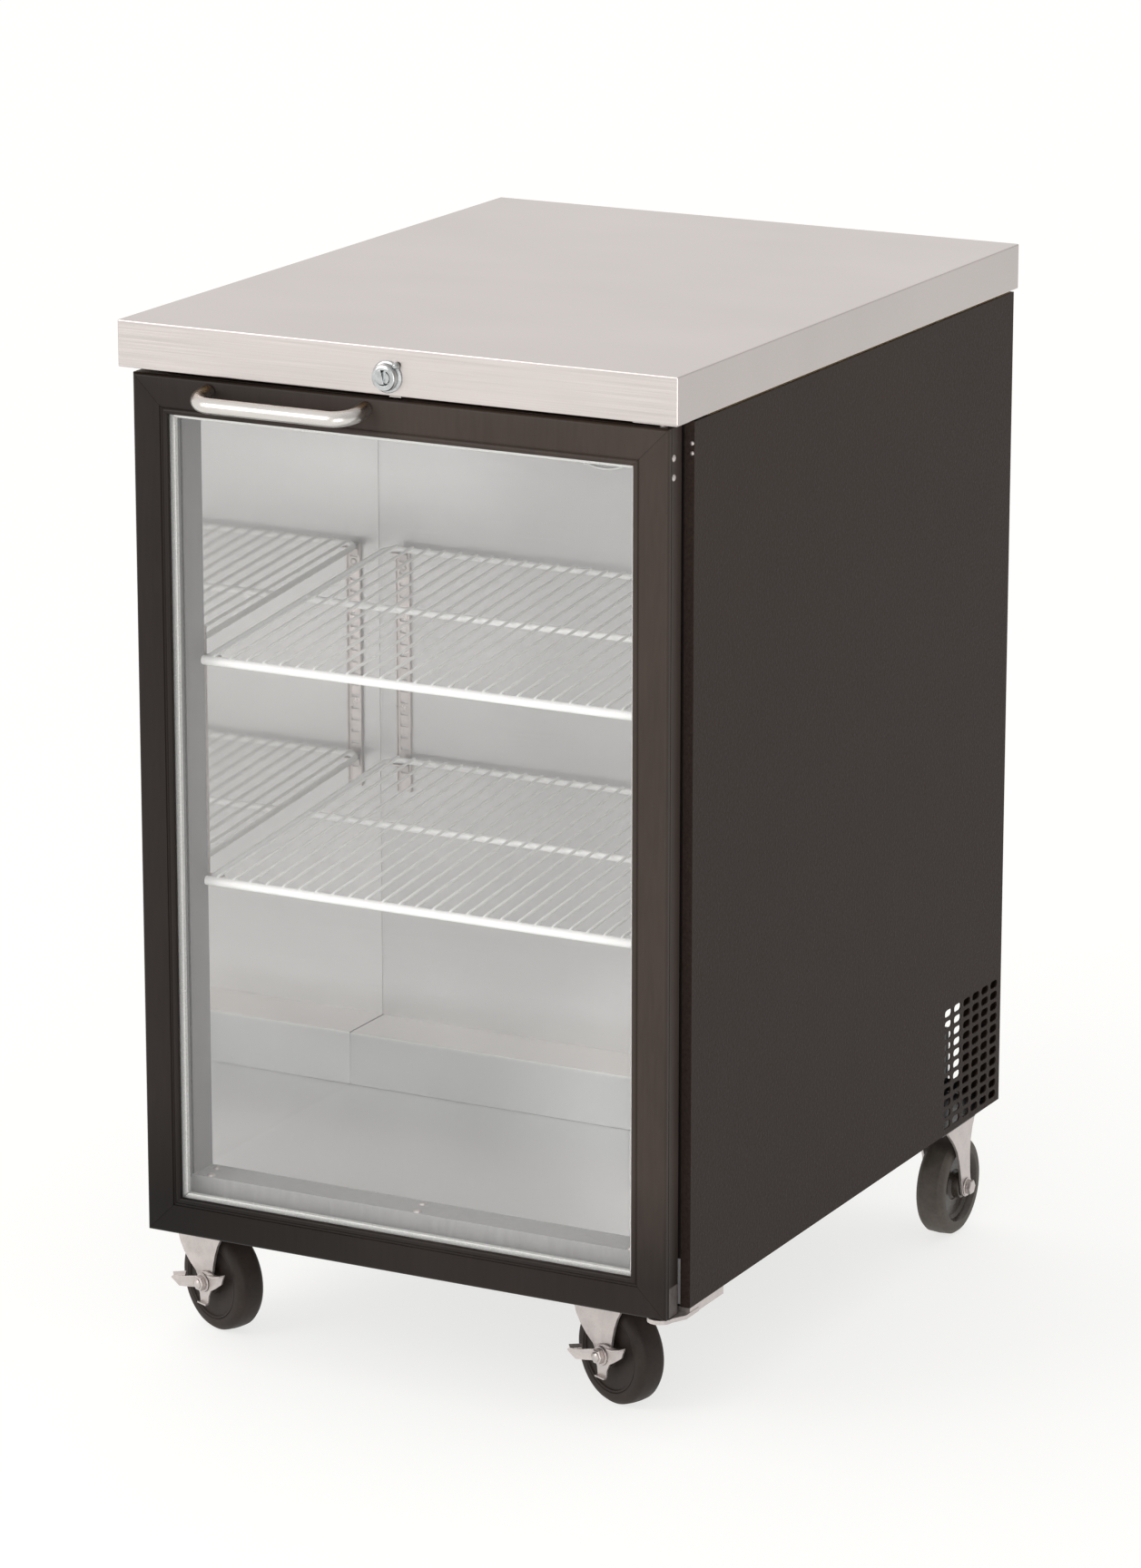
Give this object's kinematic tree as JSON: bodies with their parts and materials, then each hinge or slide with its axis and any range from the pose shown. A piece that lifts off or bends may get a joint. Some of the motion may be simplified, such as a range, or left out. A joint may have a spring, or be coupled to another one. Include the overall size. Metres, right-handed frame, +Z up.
{
  "type": "under counter fridge",
  "caption": "Back-bar cooler with a glass door hinged on the right, wire shelves, a steel worktop and swivel casters with brakes at the front.",
  "frame": {"origin": "on the floor, at the middle of the bounding box's footprint", "axes": "+Z up; the door faces -Y; +X is to the right of someone facing the door"},
  "size_m": [0.5912, 0.7784, 1.013],
  "materials": {
    "stainless": "satin",
    "black_steel": "matte",
    "door_black": "satin",
    "galvanised": "satin",
    "zinc": "satin",
    "aluminium": "satin",
    "glass": "polished",
    "white_coat": "satin",
    "rubber": "satin",
    "grey_plastic": "matte",
    "black_plastic": "matte",
    "foam": "matte",
    "board": "matte",
    "copper": "satin"
  },
  "bodies": {
    "cabinet": {"worktop": "stainless", "worktop_core": "board", "side_panel_left": "black_steel", "side_panel_right": "black_steel", "back_panel": "black_steel", "rear_grille": "black_steel", "base_pan": "galvanised", "front_frame": "grey_plastic", "liner": "galvanised", "insulation": "foam", "rear_air_panel": "galvanised", "pilaster_front_left": "galvanised", "pilaster_front_right": "galvanised", "pilaster_rear_left": "galvanised", "pilaster_rear_right": "galvanised", "evaporator_coil": "aluminium", "evaporator_fan_motor": "black_plastic", "compressor": "black_steel", "condenser_coil": "copper", "condenser_fan_motor": "black_plastic", "condensate_pan": "black_plastic", "thermostat_box": "grey_plastic", "cord_gland": "black_plastic", "top_hinge_bracket": "zinc", "bottom_hinge_bracket": "zinc", "lock_housing": "zinc", "caster_front_left_plate": "zinc", "caster_front_right_plate": "zinc", "caster_rear_left_plate": "zinc", "caster_rear_right_plate": "zinc"},
    "door": {"door_frame_top": "door_black", "door_frame_bottom": "door_black", "door_frame_left": "door_black", "door_frame_right": "door_black", "glass_outer": "glass", "glass_inner": "glass", "glass_spacer": "aluminium", "door_gasket": "rubber", "door_handle": "aluminium"},
    "shelf_upper": {"shelf_upper": "white_coat"},
    "shelf_lower": {"shelf_lower": "white_coat"},
    "lock_plug": {"lock_plug": "zinc"},
    "lock_bolt": {"lock_bolt": "zinc"},
    "evaporator_fan_blade": {"evaporator_fan_blade": "black_plastic"},
    "condenser_fan_blade": {"condenser_fan_blade": "black_plastic"},
    "caster_front_left_swivel": {"caster_front_left_fork": "zinc", "caster_front_left_axle": "zinc"},
    "caster_front_left_wheel": {"caster_front_left_wheel": "rubber"},
    "caster_front_left_brake": {"caster_front_left_brake": "zinc"},
    "caster_front_right_swivel": {"caster_front_right_fork": "zinc", "caster_front_right_axle": "zinc"},
    "caster_front_right_wheel": {"caster_front_right_wheel": "rubber"},
    "caster_front_right_brake": {"caster_front_right_brake": "zinc"},
    "caster_rear_left_swivel": {"caster_rear_left_fork": "zinc", "caster_rear_left_axle": "zinc"},
    "caster_rear_left_wheel": {"caster_rear_left_wheel": "rubber"},
    "caster_rear_right_swivel": {"caster_rear_right_fork": "zinc", "caster_rear_right_axle": "zinc"},
    "caster_rear_right_wheel": {"caster_rear_right_wheel": "rubber"}
  },
  "joints": [
    {"name": "door_hinge", "type": "hinge", "parent": "cabinet", "child": "door", "pos_m": [0.2716, -0.33675, 0.124], "axis": [0, 0, 1], "range_deg": [0, 110]},
    {"name": "shelf_upper_lift", "type": "slide", "parent": "cabinet", "child": "shelf_upper", "axis": [0, 0, 1], "range_m": [0, 0.03]},
    {"name": "shelf_lower_lift", "type": "slide", "parent": "cabinet", "child": "shelf_lower", "axis": [0, 0, 1], "range_m": [0, 0.03]},
    {"name": "lock_turn", "type": "hinge", "parent": "cabinet", "child": "lock_plug", "pos_m": [0.0016, -0.34405, 0.986], "axis": [0, 1, 0], "range_deg": [0, 90]},
    {"name": "lock_bolt_throw", "type": "slide", "parent": "cabinet", "child": "lock_bolt", "axis": [0, 0, -1], "range_m": [0, 0.009]},
    {"name": "evaporator_fan_spin", "type": "hinge", "parent": "cabinet", "child": "evaporator_fan_blade", "pos_m": [0.0056, 0.08125, 0.873], "axis": [0, 1, 0], "continuous": true},
    {"name": "condenser_fan_spin", "type": "hinge", "parent": "cabinet", "child": "condenser_fan_blade", "pos_m": [0.1056, 0.24725, 0.223], "axis": [0, 1, 0], "continuous": true},
    {"name": "caster_front_left_turn", "type": "hinge", "parent": "cabinet", "child": "caster_front_left_swivel", "pos_m": [-0.2124, -0.27275, 0.1115], "axis": [0, 0, 1], "continuous": true},
    {"name": "caster_front_left_roll", "type": "hinge", "parent": "caster_front_left_swivel", "child": "caster_front_left_wheel", "pos_m": [-0.24529, -0.25811, 0.051], "axis": [-0.4067, -0.9135, 0], "continuous": true},
    {"name": "caster_front_left_brake_press", "type": "hinge", "parent": "caster_front_left_swivel", "child": "caster_front_left_brake", "pos_m": [-0.24529, -0.25811, 0.051], "axis": [-0.4067, -0.9135, 0], "range_deg": [0, 18]},
    {"name": "caster_front_right_turn", "type": "hinge", "parent": "cabinet", "child": "caster_front_right_swivel", "pos_m": [0.2236, -0.27275, 0.1115], "axis": [0, 0, 1], "continuous": true},
    {"name": "caster_front_right_roll", "type": "hinge", "parent": "caster_front_right_swivel", "child": "caster_front_right_wheel", "pos_m": [0.19071, -0.25811, 0.051], "axis": [-0.4067, -0.9135, 0], "continuous": true},
    {"name": "caster_front_right_brake_press", "type": "hinge", "parent": "caster_front_right_swivel", "child": "caster_front_right_brake", "pos_m": [0.19071, -0.25811, 0.051], "axis": [-0.4067, -0.9135, 0], "range_deg": [0, 18]},
    {"name": "caster_rear_left_turn", "type": "hinge", "parent": "cabinet", "child": "caster_rear_left_swivel", "pos_m": [-0.2524, 0.29325, 0.1115], "axis": [0, 0, 1], "continuous": true},
    {"name": "caster_rear_left_roll", "type": "hinge", "parent": "caster_rear_left_swivel", "child": "caster_rear_left_wheel", "pos_m": [-0.2524, 0.32725, 0.051], "axis": [-1, 0, 0], "continuous": true},
    {"name": "caster_rear_right_turn", "type": "hinge", "parent": "cabinet", "child": "caster_rear_right_swivel", "pos_m": [0.2636, 0.29325, 0.1115], "axis": [0, 0, 1], "continuous": true},
    {"name": "caster_rear_right_roll", "type": "hinge", "parent": "caster_rear_right_swivel", "child": "caster_rear_right_wheel", "pos_m": [0.2636, 0.32725, 0.051], "axis": [-1, 0, 0], "continuous": true}
  ],
  "couplings": [
    {"joint": "lock_bolt_throw", "follows": "lock_turn", "m_per_rad": 0.0057}
  ]
}
